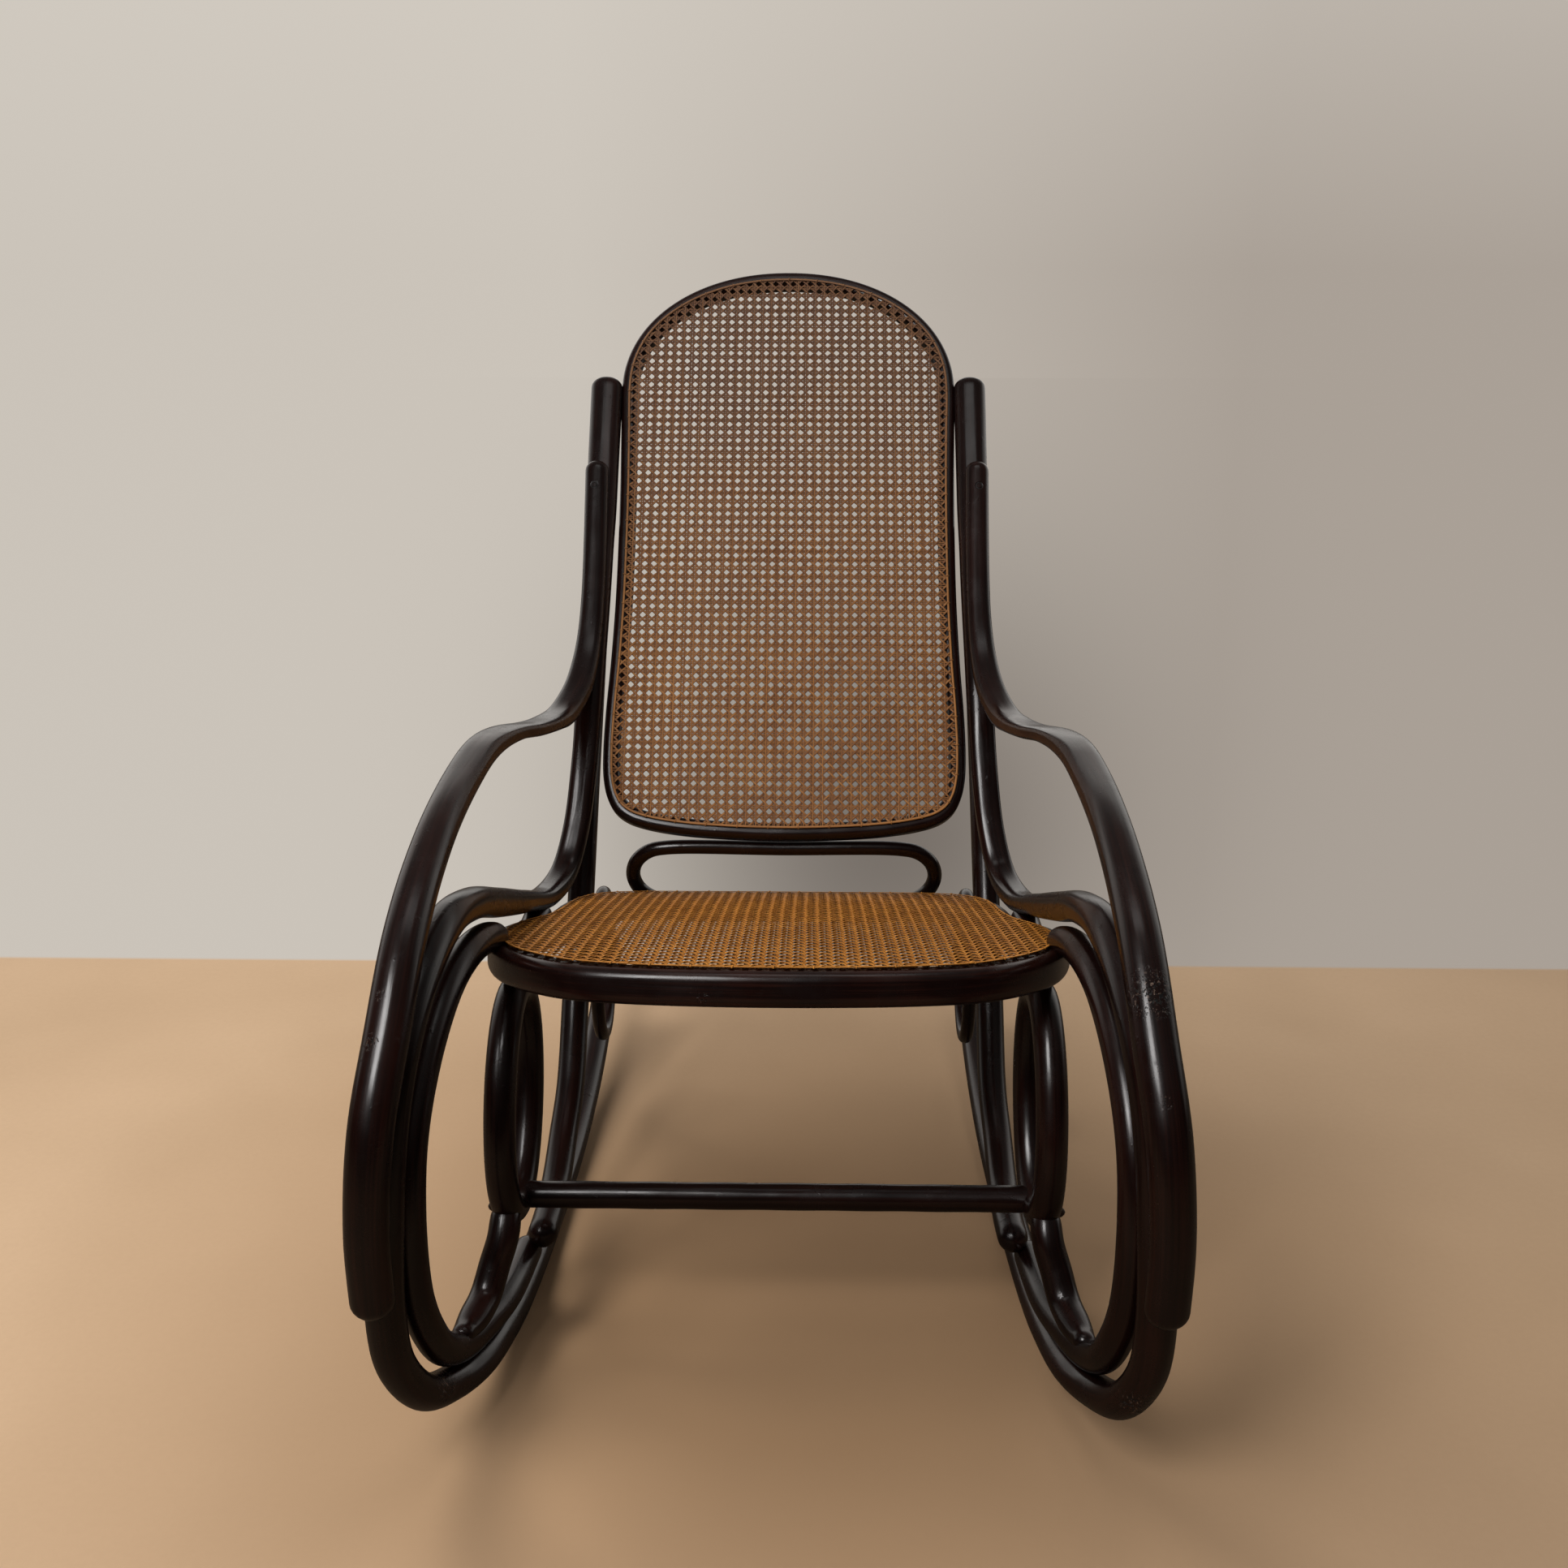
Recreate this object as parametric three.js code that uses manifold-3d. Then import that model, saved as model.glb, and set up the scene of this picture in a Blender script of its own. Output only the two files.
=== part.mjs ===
// Bentwood rocking chair with a caned seat and back.
// Millimetres. +Z is up, -Y is the front, +X is the right of somebody looking at the front.
// The floor is at z = 0. While the chair is built, y = 0 is the line where the runners touch the floor.
import * as THREE from "three";
import { mergeGeometries, mergeVertices } from "three/addons/utils/BufferGeometryUtils.js";
import Module from "manifold-3d";

const wasm = await Module();
wasm.setup();

// Driving dimensions
const INNER_ROD = 15; // radius of the inner loop, the braces and the rings
const OVAL_ROD = 8.5; // radius of the oval below the back
const LOOP_ROD = 8; // radius of the small rear loops
const STRETCHER = 13; // radius of the front stretcher
const FIT = 0.3; // gap kept where one piece is shaped to another
const WEAR = 0.6; // depth of the flat worn under each runner

const SEAT_SLOPE = 0.2635; // the seat falls this much per millimetre towards the back
const SEAT_HEIGHT = 374; // height of the caned surface at y = 0
const SEAT_RIM = { wide: 30, tall: 33, round: 10 }; // section of the seat ring
const SEAT_BARE = 15; // bare wood left outside the cane
const SEAT_PITCH = 50; // mesh of the plain net that stands for the seat's cane

const BACK_FOOT = { y: 201, z: 380 }; // lowest point of the back frame's outline
const BACK_HEAD = { y: 628, z: 1009 }; // highest point of the back frame's outline
const BACK_RAIL = { wide: 20, deep: 24, round: 8 }; // section of the back frame
const BACK_ARCH = { half: 210, rise: 170, square: 2.1 }; // half width, rise, and how square the arch is
const BACK_BARE = 8; // bare bead left outside the cane
const BACK_PITCH = 40; // mesh of the plain net that stands for the back's cane
const NET_BORDER = 20; // closed edge of a net, over the wood that carries it
const NET_STRAND = 9; // strip left between two gaps of a net
const CANE = 2; // thickness of the cane

// The paths are the centre lines of the rods on the +X side: y, z, x.
// A section is: share of the length, half width across the side, half thickness in the side's plane,
// and how square it is (2 is an ellipse).
const MAIN_PATH = [
  [536, 886, 228.5], [373, 673, 227.5], [236, 462, 234], [200, 401, 240.5], [166, 364, 250],
  [100, 360, 261], [8, 392, 270], [-78, 427, 278], [-162, 461, 283], [-236, 475, 288], [-310, 458, 294],
  [-367, 415, 301], [-399, 357, 307], [-417, 284, 311], [-419, 210, 315], [-408, 147, 314],
  [-378, 94, 302], [-330, 65, 288], [-283, 50, 275], [-215, 36, 267], [-149, 26, 263], [10, 16, 257],
  [132, 22, 251.5], [268, 43, 248], [415, 82, 247.5], [520, 120, 248],
];
const MAIN_SECTION = [
  [0, 19.8, 16.5, 2.2], [0.07, 18.8, 16.5, 2.3], [0.1, 17.5, 16, 2.4], [0.17, 16, 15, 2.8],
  [0.2, 15, 12, 3], [0.3, 15, 11, 3], [0.37, 16, 15, 2.4], [0.45, 17, 16, 2], [1, 16, 16, 2],
];
const MAIN_NOSE = 15; // rounding of the blunt top of the upright
const ARM_PATH = [
  [436, 794, 232], [412, 757, 231], [338, 645, 229.5], [297, 593, 232], [254, 562, 237], [221, 547, 244],
  [190, 541, 250], [142, 546, 257], [86, 556, 266], [30, 568, 279], [-36, 574, 288], [-110, 568, 293],
  [-226, 547, 296], [-320, 505, 299], [-388, 441, 303], [-430, 382, 309], [-448, 304, 314],
  [-451, 226, 314],
];
const ARM_SECTION = [
  [0, 14, 12, 2], [0.15, 14, 13, 2.4], [0.27, 16, 12, 2.8], [0.36, 18.5, 7.8, 3.4], [0.42, 19.7, 7.6, 3.6],
  [0.52, 18, 11, 2.8], [0.62, 17.5, 15, 2.2], [0.8, 18.5, 18, 2], [1, 18, 16, 2],
];
const INNER_PATH = [
  [-112, 404, 270], [-145, 418, 275], [-194, 426, 281], [-250, 418, 288], [-316, 382, 295],
  [-362, 333, 299], [-384, 270, 300], [-385, 198, 299], [-370, 150, 295], [-346, 113, 290],
  [-312, 90, 283], [-268, 77, 274], [-210, 67, 263], [-110, 57, 257],
];
const BRACE_PATH = [
  [-322, 106, 281], [-300, 100, 279], [-262, 104, 271], [-243, 127, 264], [-235, 153, 256],
  [-232, 180, 249],
];
const BRACE_SECTION = [[0, 10, 9, 2], [0.3, 15, 14, 2], [1, 15, 15, 2]];
const REAR_PATH = [
  [444, 719, 231], [266, 443, 235], [205, 324, 238], [135, 219, 239], [60, 146, 237], [13, 113, 239],
  [-43, 90, 239], [-94, 82, 239], [-140, 80, 241],
];
const REAR_ROD = 15.5;
const RING = { y: -157, z: 255, x: 254, long: 105, short: 56, lean: 24, splay: 0.06 };
const REAR_RING = { y: 258, z: 204, x: 223, long: 88, short: 60, lean: 12, splay: 0 };
const STRETCHER_AXIS = { y: -174, z: 158 };
const BOLT = { y: -190, z: 157, radius: 7, proud: 7 }; // head of the bolt through the ring's joint
const BLOCK = { x: 264, y: 45, z: 350, radius: 15, tall: 50 };
const OVAL = { half: 179.5, top: { y: 218, z: 372.5 }, foot: { y: 247, z: 293 } };
const SEAT_PLAN = [
  [-252, 0], [-241, 131], [-222, 188], [-165, 244], [-100, 269], [-50, 274], [-10, 267], [30, 247],
  [75, 240], [124, 238], [170, 231], [203, 211], [218, 176], [222, 90],
]; // y, x of the centre line of half the seat ring, from the front to the back
const BACK_SIDE = [
  [208.6, 530], [207, 460], [206.3, 380], [206.8, 300], [209.3, 225], [212.6, 165], [213.8, 115],
  [212, 80], [206.5, 57], [197, 40], [182, 28.5], [158, 20.5], [120, 14], [70, 10], [0, 8],
]; // x, height: the back's outline from the spring of its arch to the middle of its foot

const SIDES = 10; // facets round a rod
const TURN = 0.16; // radians that a rod may turn between two stations
const REACH = 75; // longest straight stretch of a rod between two stations

// Materials
const wood = (color) => new THREE.MeshStandardMaterial({ color, roughness: 0.28, metalness: 0 });
const MAHOGANY = wood(0x2a1310);
const MAHOGANY_LIGHT = wood(0x351812);
const SEAT_CANE = new THREE.MeshStandardMaterial({ color: 0xa9712f, roughness: 0.6, metalness: 0 });
const BACK_CANE = new THREE.MeshStandardMaterial({ color: 0x8a5a2c, roughness: 0.6, metalness: 0 });
const STEEL = new THREE.MeshStandardMaterial({ color: 0x2b2926, roughness: 0.45, metalness: 0.9 });

// Solids
function solidOf(geometry) {
  const bare = geometry.index ? geometry.toNonIndexed() : geometry.clone();
  for (const name of Object.keys(bare.attributes)) if (name !== "position") bare.deleteAttribute(name);
  const merged = mergeVertices(bare, 1e-4);
  return new wasm.Manifold(
    new wasm.Mesh({
      numProp: 3,
      vertProperties: merged.attributes.position.array,
      triVerts: new Uint32Array(merged.index.array),
    }),
  );
}

function geometryOf(solid) {
  const mesh = solid.getMesh();
  const geometry = new THREE.BufferGeometry();
  geometry.setAttribute("position", new THREE.BufferAttribute(mesh.vertProperties, 3));
  geometry.setIndex(new THREE.BufferAttribute(mesh.triVerts, 1));
  geometry.computeVertexNormals();
  return geometry;
}

const cutBy = (solid, ...cutters) => cutters.reduce((left, cutter) => left.subtract(cutter), solid);

// A closed skin over rings of points: capped at both ends, or joined to itself.
function skin(rings, closed = false) {
  const n = rings[0].length;
  const points = rings.flat();
  const faces = [];
  const last = closed ? rings.length : rings.length - 1;
  for (let i = 0; i < last; i++) {
    const a = i * n;
    const b = ((i + 1) % rings.length) * n;
    for (let j = 0; j < n; j++) {
      const k = (j + 1) % n;
      faces.push(a + j, a + k, b + j, a + k, b + k, b + j);
    }
  }
  if (!closed) {
    const end = (rings.length - 1) * n;
    for (let j = 1; j < n - 1; j++) {
      faces.push(0, j + 1, j);
      faces.push(end, end + j, end + j + 1);
    }
  }
  const geometry = new THREE.BufferGeometry().setFromPoints(points);
  geometry.setIndex(faces);
  const solid = solidOf(geometry);
  return solid.volume() > 0 ? solid : solidOf(geometry.setIndex(faces.reverse()));
}

// Sections, as points of a unit frame: u across the side, v in its plane
function ovalSection(halfWide, halfThick, square = 2) {
  return Array.from({ length: SIDES }, (_, j) => {
    const angle = ((j + 0.5) / SIDES) * 2 * Math.PI;
    const [c, s] = [Math.cos(angle), Math.sin(angle)];
    const grow = (Math.abs(c) ** square + Math.abs(s) ** square) ** (-1 / square);
    return [halfWide * c * grow, halfThick * s * grow];
  });
}

function railSection({ wide, tall, round }) {
  const points = [];
  for (const [su, sv, from] of [[1, 1, 0], [-1, 1, 90], [-1, -1, 180], [1, -1, 270]]) {
    for (const step of [0, 30, 60, 90]) {
      const angle = THREE.MathUtils.degToRad(from + step);
      const u = su * (wide / 2 - round) + round * Math.cos(angle);
      const v = sv * (tall / 2 - round) + round * Math.sin(angle);
      points.push([u, v]);
    }
  }
  return points;
}

// Value of a section list at a share of the rod's length, eased between its entries
function sectionAt(list, share) {
  const next = list.findIndex((entry) => entry[0] >= share);
  if (next <= 0) return list[Math.max(next, 0)].slice(1);
  const [from, to] = [list[next - 1], list[next]];
  const mix = THREE.MathUtils.smoothstep(share, from[0], to[0]);
  return [1, 2, 3].map((i) => THREE.MathUtils.lerp(from[i], to[i], mix));
}

// Shares of a curve's length where a rod gets a station: close together in bends, far apart on straights.
// A closed curve gets the same stations on both of its halves.
function stationsOf(curve, closed) {
  const steps = Math.ceil(curve.getLength() / 6);
  const kept = [0];
  let before = curve.getTangentAt(0);
  const stop = closed ? 0.5 : 1;
  for (let i = 1; i / steps < stop - 0.4 / steps; i++) {
    const share = i / steps;
    const tangent = curve.getTangentAt(share);
    const far = (share - kept[kept.length - 1]) * curve.getLength();
    if (tangent.angleTo(before) > TURN || far > REACH) {
      kept.push(share);
      before = tangent;
    }
  }
  kept.push(stop);
  return closed ? [...kept, ...kept.slice(1, -1).reverse().map((share) => 1 - share)] : kept;
}

const ACROSS = new THREE.Vector3(1, 0, 0);

// A bent rod along a path, its section flattened across the side, its ends rounded
function rod(path, section, { nose = section[0][2], swell = 0 } = {}) {
  const curve = new THREE.CatmullRomCurve3(path.map(([y, z, x]) => new THREE.Vector3(x, y, z)));
  const length = curve.getLength();
  const first = nose / length;
  const tail = section[section.length - 1][2] / length;
  const rounding = [0.06, 0.3, 0.65, 1];
  const spans = stationsOf(curve, false).filter((share) => share > first * 1.4 && share < 1 - tail * 1.4);
  const start = rounding.map((part) => [first * part, part]);
  const end = rounding.map((part) => [1 - tail * part, part]).reverse();
  const stations = [...start, ...spans.map((share) => [share, 1]), ...end];
  const rings = stations.map(([share, part]) => {
    const centre = curve.getPointAt(share);
    const tangent = curve.getTangentAt(share);
    const u = ACROSS.clone().addScaledVector(tangent, -tangent.dot(ACROSS)).normalize();
    const v = new THREE.Vector3().crossVectors(tangent, u);
    const narrow = Math.sqrt(1 - (1 - part) ** 2);
    const [halfWide, halfThick, square] = sectionAt(section, share);
    const outline = ovalSection((halfWide + swell) * narrow, (halfThick + swell) * narrow, square);
    return outline.map(([a, b]) =>
      centre.clone().addScaledVector(u, a).addScaledVector(v, b),
    );
  });
  return skin(rings);
}

const round = (radius) => [[0, radius, radius, 2], [1, radius, radius, 2]];

// A closed loop of rail: centre line as a closed curve, with the direction that its v axis keeps
function loop(curve, section, facing) {
  const rings = stationsOf(curve, true).map((share) => {
    const centre = curve.getPointAt(share);
    const tangent = curve.getTangentAt(share);
    const u = new THREE.Vector3().crossVectors(facing, tangent).normalize();
    return section.map(([a, b]) => centre.clone().addScaledVector(u, a).addScaledVector(facing, b));
  });
  return skin(rings, true);
}

// An upright oval ring of round rod that stands in the side frame
function ring({ y, z, x, long, short, lean, splay }, radius, swell = 0) {
  const tilt = THREE.MathUtils.degToRad(lean);
  const points = Array.from({ length: 24 }, (_, i) => {
    const angle = (i / 24) * 2 * Math.PI;
    const [up, back] = [long * Math.cos(angle), short * Math.sin(angle)];
    return new THREE.Vector3(
      x - back * splay,
      y + up * Math.sin(tilt) + back * Math.cos(tilt),
      z + up * Math.cos(tilt) - back * Math.sin(tilt),
    );
  });
  return loop(new THREE.CatmullRomCurve3(points, true), ovalSection(radius + swell, radius + swell), ACROSS);
}

// Side frame
const leftwards = new THREE.Matrix4().makeScale(-1, 1, 1);
const mirrored = (solid) => solid.transform(leftwards.elements);

function bolt(x, y, z, radius, length) {
  const shape = new THREE.LatheGeometry(
    [[0, 0], [radius, 0], [radius, length * 0.5], [radius * 0.7, length * 0.85], [0, length]].map(
      ([r, h]) => new THREE.Vector2(r, h),
    ),
    14,
  );
  shape.rotateZ(-Math.PI / 2).translate(x, y, z);
  return solidOf(shape);
}

function worn(solid) {
  const floor = new THREE.BoxGeometry(900, 400, 40).translate(0, 0, WEAR - 20);
  return solid.subtract(solidOf(floor)).translate(0, 0, -WEAR);
}

function sideFrame() {
  const main = worn(rod(MAIN_PATH, MAIN_SECTION, { nose: MAIN_NOSE }));
  const mainGap = rod(MAIN_PATH, MAIN_SECTION, { nose: MAIN_NOSE, swell: FIT }).translate(0, 0, -WEAR);
  const inner = cutBy(rod(INNER_PATH, round(INNER_ROD)), mainGap);
  const innerGap = rod(INNER_PATH, round(INNER_ROD), { swell: FIT });
  const oval = ring(RING, INNER_ROD);
  const ovalGap = ring(RING, INNER_ROD, FIT);
  const brace = cutBy(rod(BRACE_PATH, BRACE_SECTION), innerGap, ovalGap);
  const braceGap = rod(BRACE_PATH, BRACE_SECTION, { swell: FIT });
  const arm = cutBy(rod(ARM_PATH, ARM_SECTION), mainGap);
  const rear = cutBy(rod(REAR_PATH, round(REAR_ROD)), mainGap, innerGap, braceGap);
  const rearGap = rod(REAR_PATH, round(REAR_ROD), { swell: FIT });
  const rearLoop = cutBy(ring(REAR_RING, LOOP_ROD), rearGap, mainGap);
  return { main, mainGap, inner, oval, ovalGap, brace, braceGap, arm, rear, rearLoop };
}

// Seat
const seatTop = (y) => SEAT_HEIGHT - SEAT_SLOPE * y;
const SEAT_NORMAL = new THREE.Vector3(0, SEAT_SLOPE, 1).normalize();

function seatCurve(drop) {
  const half = SEAT_PLAN.map(([y, x]) => new THREE.Vector3(x, y, seatTop(y) - drop / SEAT_NORMAL.z));
  const other = half.slice(1).reverse().map((point) => point.clone().multiply(new THREE.Vector3(-1, 1, 1)));
  return new THREE.CatmullRomCurve3([...half, ...other], true);
}

function seatRing(swell = 0) {
  const { wide, tall, round: corner } = SEAT_RIM;
  const section = railSection({ wide: wide + 2 * swell, tall: tall + 2 * swell, round: corner + swell });
  return loop(seatCurve(tall / 2 + CANE + FIT), section, SEAT_NORMAL);
}

// Nets: a sheet with square gaps, clear of the border
function net(outline, pitch, thick) {
  const sheet = new THREE.ExtrudeGeometry(new THREE.Shape(outline), { depth: thick, bevelEnabled: false });
  const inside = (x, y) => outline.reduce((odd, a, i) => {
    const b = outline[(i + 1) % outline.length];
    const crosses = a.y > y !== b.y > y && x < ((b.x - a.x) * (y - a.y)) / (b.y - a.y) + a.x;
    return crosses ? !odd : odd;
  }, false);
  const around = [[1, 0], [0, 1], [-1, 0], [0, -1], [0.7, 0.7], [-0.7, 0.7], [-0.7, -0.7], [0.7, -0.7]];
  const clear = (x, y) => around.every(([u, v]) => inside(x + u * NET_BORDER, y + v * NET_BORDER));
  const size = pitch - NET_STRAND;
  const box = new THREE.Box2().setFromPoints(outline);
  const middle = box.getCenter(new THREE.Vector2());
  const columns = Math.ceil((box.max.x - box.min.x) / pitch / 2);
  const rows = Math.ceil((box.max.y - box.min.y) / pitch / 2);
  const gaps = [];
  for (let i = -columns; i <= columns; i++) {
    for (let j = -rows; j <= rows; j++) {
      const [x, y] = [i * pitch, middle.y + j * pitch];
      const corners = [[1, 1], [-1, 1], [-1, -1], [1, -1]].map(
        ([u, v]) => [x + (u * size) / 2, y + (v * size) / 2],
      );
      if (!corners.every(([a, b]) => clear(a, b))) continue;
      gaps.push(new THREE.BoxGeometry(size, size, 3 * thick).translate(x, y, thick / 2));
    }
  }
  return geometryOf(solidOf(sheet).subtract(solidOf(mergeGeometries(gaps))));
}

function insetOutline(points, inset) {
  return points.map((point, i) => {
    const before = points[(i + points.length - 1) % points.length];
    const after = points[(i + 1) % points.length];
    const along = after.clone().sub(before).normalize();
    return new THREE.Vector2(point.x - along.y * inset, point.y + along.x * inset);
  });
}

const SEAT_TILT = Math.atan(SEAT_SLOPE);

// Outline of the cane in the seat's own plane, moved inwards
function seatOutline(inset) {
  const curve = seatCurve(0);
  const centre = stationsOf(curve, true).map((share) => curve.getPointAt(share));
  const flat = centre.map((point) => new THREE.Vector2(point.x, point.y / Math.cos(SEAT_TILT)));
  return insetOutline(flat, SEAT_BARE - SEAT_RIM.wide / 2 + inset);
}

// Puts a shape made under the seat's plane in its place
const onSeat = (geometry) => geometry.rotateX(-SEAT_TILT).translate(0, 0, SEAT_HEIGHT);

function seatCane() {
  return solidOf(onSeat(net(seatOutline(0), SEAT_PITCH, CANE).translate(0, 0, -CANE)));
}

// The room that the seat's cane needs
function seatCaneGap() {
  const depth = CANE + 2 * FIT;
  const outline = new THREE.Shape(seatOutline(-FIT));
  const sheet = new THREE.ExtrudeGeometry(outline, { depth, bevelEnabled: false });
  return solidOf(onSeat(sheet.translate(0, 0, FIT - depth)));
}

// Back
const BACK_RUN = BACK_HEAD.y - BACK_FOOT.y;
const BACK_RISE = BACK_HEAD.z - BACK_FOOT.z;
const BACK_LONG = Math.hypot(BACK_RUN, BACK_RISE);
const BACK_LEAN = Math.atan2(BACK_RUN, BACK_RISE);

// Outline of the back in its own plane: x across, y up the slope from the foot
function backOutline(inset) {
  const { half, rise, square } = BACK_ARCH;
  const spring = BACK_LONG - rise;
  const arch = [90, 80, 70, 60, 50, 40, 30, 20, 10, 0].map((step) => {
    const angle = THREE.MathUtils.degToRad(step);
    return [half * Math.cos(angle) ** (2 / square), spring + rise * Math.sin(angle) ** (2 / square)];
  });
  const right = [...arch, ...BACK_SIDE];
  const left = right.slice(1, -1).reverse().map(([x, y]) => [-x, y]);
  return insetOutline([...right, ...left].map(([x, y]) => new THREE.Vector2(x, y)), -inset);
}

// Puts a shape made in the back's plane (z towards the sitter) in its place
function onBack(geometry) {
  return geometry.rotateX(Math.PI / 2 - BACK_LEAN).translate(0, BACK_FOOT.y, BACK_FOOT.z);
}

function backFrame(swell = 0) {
  const outline = backOutline(BACK_RAIL.wide / 2);
  const curve = new THREE.CatmullRomCurve3(
    outline.map(({ x, y }) => new THREE.Vector3(x, y, 0)), true, "centripetal",
  );
  const { wide, deep, round: corner } = BACK_RAIL;
  const section = railSection({ wide: wide + 2 * swell, tall: deep + 2 * swell, round: corner });
  const flat = loop(curve, section, new THREE.Vector3(0, 0, 1));
  return solidOf(onBack(geometryOf(flat)));
}

function backCane() {
  const sheet = net(backOutline(BACK_BARE), BACK_PITCH, CANE);
  return solidOf(onBack(sheet.translate(0, 0, BACK_RAIL.deep / 2 + FIT)));
}

function backOval() {
  const { half, top, foot } = OVAL;
  const middle = new THREE.Vector3(0, (top.y + foot.y) / 2, (top.z + foot.z) / 2);
  const up = new THREE.Vector3(0, top.y - foot.y, top.z - foot.z);
  const bend = up.length() / 2;
  up.normalize();
  const at = (x, rise) => middle.clone().addScaledVector(ACROSS, x).addScaledVector(up, rise);
  const right = [0, 30, 60, 90, 120, 150, 180].map((step) => {
    const angle = THREE.MathUtils.degToRad(step);
    return at(half - bend + bend * Math.sin(angle), bend * Math.cos(angle));
  });
  const left = right.toReversed().map((point) => point.clone().setX(-point.x));
  const points = [at(0, bend), ...right, at(0, -bend), ...left];
  const curve = new THREE.CatmullRomCurve3(points, true, "centripetal");
  const facing = new THREE.Vector3().crossVectors(ACROSS, up).normalize();
  return loop(curve, ovalSection(OVAL_ROD, OVAL_ROD), facing);
}

// Assembly
const chair = new THREE.Group();

function add(name, solid, material) {
  const mesh = new THREE.Mesh(geometryOf(solid), material);
  mesh.name = name;
  chair.add(mesh);
}

const side = sideFrame();
const blockShape = new THREE.CylinderGeometry(BLOCK.radius, BLOCK.radius, BLOCK.tall, 16)
  .rotateX(Math.PI / 2)
  .translate(BLOCK.x, BLOCK.y, BLOCK.z);
const stretcherReach = RING.x - 4;
const stretcherShape = new THREE.CylinderGeometry(STRETCHER, STRETCHER, 2 * stretcherReach, 16)
  .rotateZ(Math.PI / 2)
  .translate(0, STRETCHER_AXIS.y, STRETCHER_AXIS.z);
const stretcherBolt = bolt(RING.x, BOLT.y, BOLT.z, BOLT.radius, INNER_ROD + BOLT.proud);

const both = (solid) => [solid, mirrored(solid)];
const mainGaps = both(side.mainGap);
const seat = cutBy(seatRing(), ...mainGaps);
const back = cutBy(backFrame(), ...mainGaps);
const centreGap = seatRing(FIT).add(backFrame(FIT));

const sideParts = {
  main_scroll: side.main,
  arm_rail: side.arm,
  inner_loop: cutBy(side.inner, centreGap, seatCaneGap()),
  oval_ring: cutBy(side.oval, centreGap),
  lower_brace: side.brace,
  rear_upright: cutBy(side.rear, centreGap),
  rear_loop: cutBy(side.rearLoop, centreGap),
  seat_block: cutBy(solidOf(blockShape), centreGap, side.mainGap),
  stretcher_bolt: cutBy(stretcherBolt, side.ovalGap, side.braceGap),
};
for (const [name, solid] of Object.entries(sideParts)) {
  const material = name === "stretcher_bolt" ? STEEL : MAHOGANY;
  add("right_" + name, solid, material);
  add("left_" + name, mirrored(solid), material);
}
const joints = [...both(side.ovalGap), ...both(side.braceGap)];
add("front_stretcher", cutBy(solidOf(stretcherShape), ...joints), MAHOGANY);
add("seat_ring", seat, MAHOGANY_LIGHT);
add("seat_cane", seatCane(), SEAT_CANE);
add("back_frame", back, MAHOGANY);
add("back_cane", backCane(), BACK_CANE);
add("back_oval", cutBy(backOval(), centreGap), MAHOGANY);

// The origin is on the floor, under the middle of the chair
const box = new THREE.Box3().setFromObject(chair);
chair.position.y = -(box.min.y + box.max.y) / 2;

const root = new THREE.Group();
root.add(chair);

export default root;
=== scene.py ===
"""A bentwood rocking chair with a caned seat and back, dressed over its CAD frame.

Shapes are worked out in millimetres in the frame the CAD is built in: x to the right of somebody
who looks at the front, y to the back, z up. `metres` moves them into the row frame.
"""

import math
from functools import partial

import bpy
import numpy as np
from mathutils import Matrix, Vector


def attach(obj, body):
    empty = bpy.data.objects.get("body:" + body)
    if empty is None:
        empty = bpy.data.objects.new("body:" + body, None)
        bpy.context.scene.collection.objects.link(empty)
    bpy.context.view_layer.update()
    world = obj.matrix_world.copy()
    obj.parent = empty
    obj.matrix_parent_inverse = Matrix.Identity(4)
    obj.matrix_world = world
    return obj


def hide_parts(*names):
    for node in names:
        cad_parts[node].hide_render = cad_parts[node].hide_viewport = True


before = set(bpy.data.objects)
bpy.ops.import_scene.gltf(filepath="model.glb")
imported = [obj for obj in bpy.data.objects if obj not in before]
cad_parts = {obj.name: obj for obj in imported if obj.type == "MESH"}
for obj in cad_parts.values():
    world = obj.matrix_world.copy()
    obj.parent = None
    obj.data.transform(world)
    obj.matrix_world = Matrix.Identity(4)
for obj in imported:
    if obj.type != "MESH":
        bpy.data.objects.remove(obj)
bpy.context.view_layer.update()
COLLECTION = bpy.context.scene.collection

SHIFT = -84.07  # the row frame's origin is under the middle of the chair
WEAR = 0.6  # how far the runners are worn down where they stand
INNER_ROD = 15  # radius of the inner loops and the oval rings

# Centre lines on the right side (y, z, x) and sections
# (share of the length, half width, half thickness, how square: 2 is round)
MAIN_PATH = [
    (536, 886, 228.5), (373, 673, 227.5), (236, 462, 234), (200, 401, 240.5), (166, 364, 250),
    (100, 360, 261), (8, 392, 270), (-78, 427, 278), (-162, 461, 283), (-236, 475, 288),
    (-310, 458, 294), (-367, 415, 301), (-399, 357, 307), (-417, 284, 311), (-419, 210, 315),
    (-408, 147, 314), (-378, 94, 302), (-330, 65, 288), (-283, 50, 275), (-215, 36, 267),
    (-149, 26, 263), (10, 16, 257), (132, 22, 251.5), (268, 43, 248), (415, 82, 247.5),
    (520, 120, 248),
]
MAIN_SECTION = [
    (0, 19.8, 16.5, 2.2), (0.07, 18.8, 16.5, 2.3), (0.1, 17.5, 16, 2.4), (0.17, 16, 15, 2.8),
    (0.2, 15, 12, 3), (0.3, 15, 11, 3), (0.37, 16, 15, 2.4), (0.45, 17, 16, 2), (1, 16, 16, 2),
]
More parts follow.
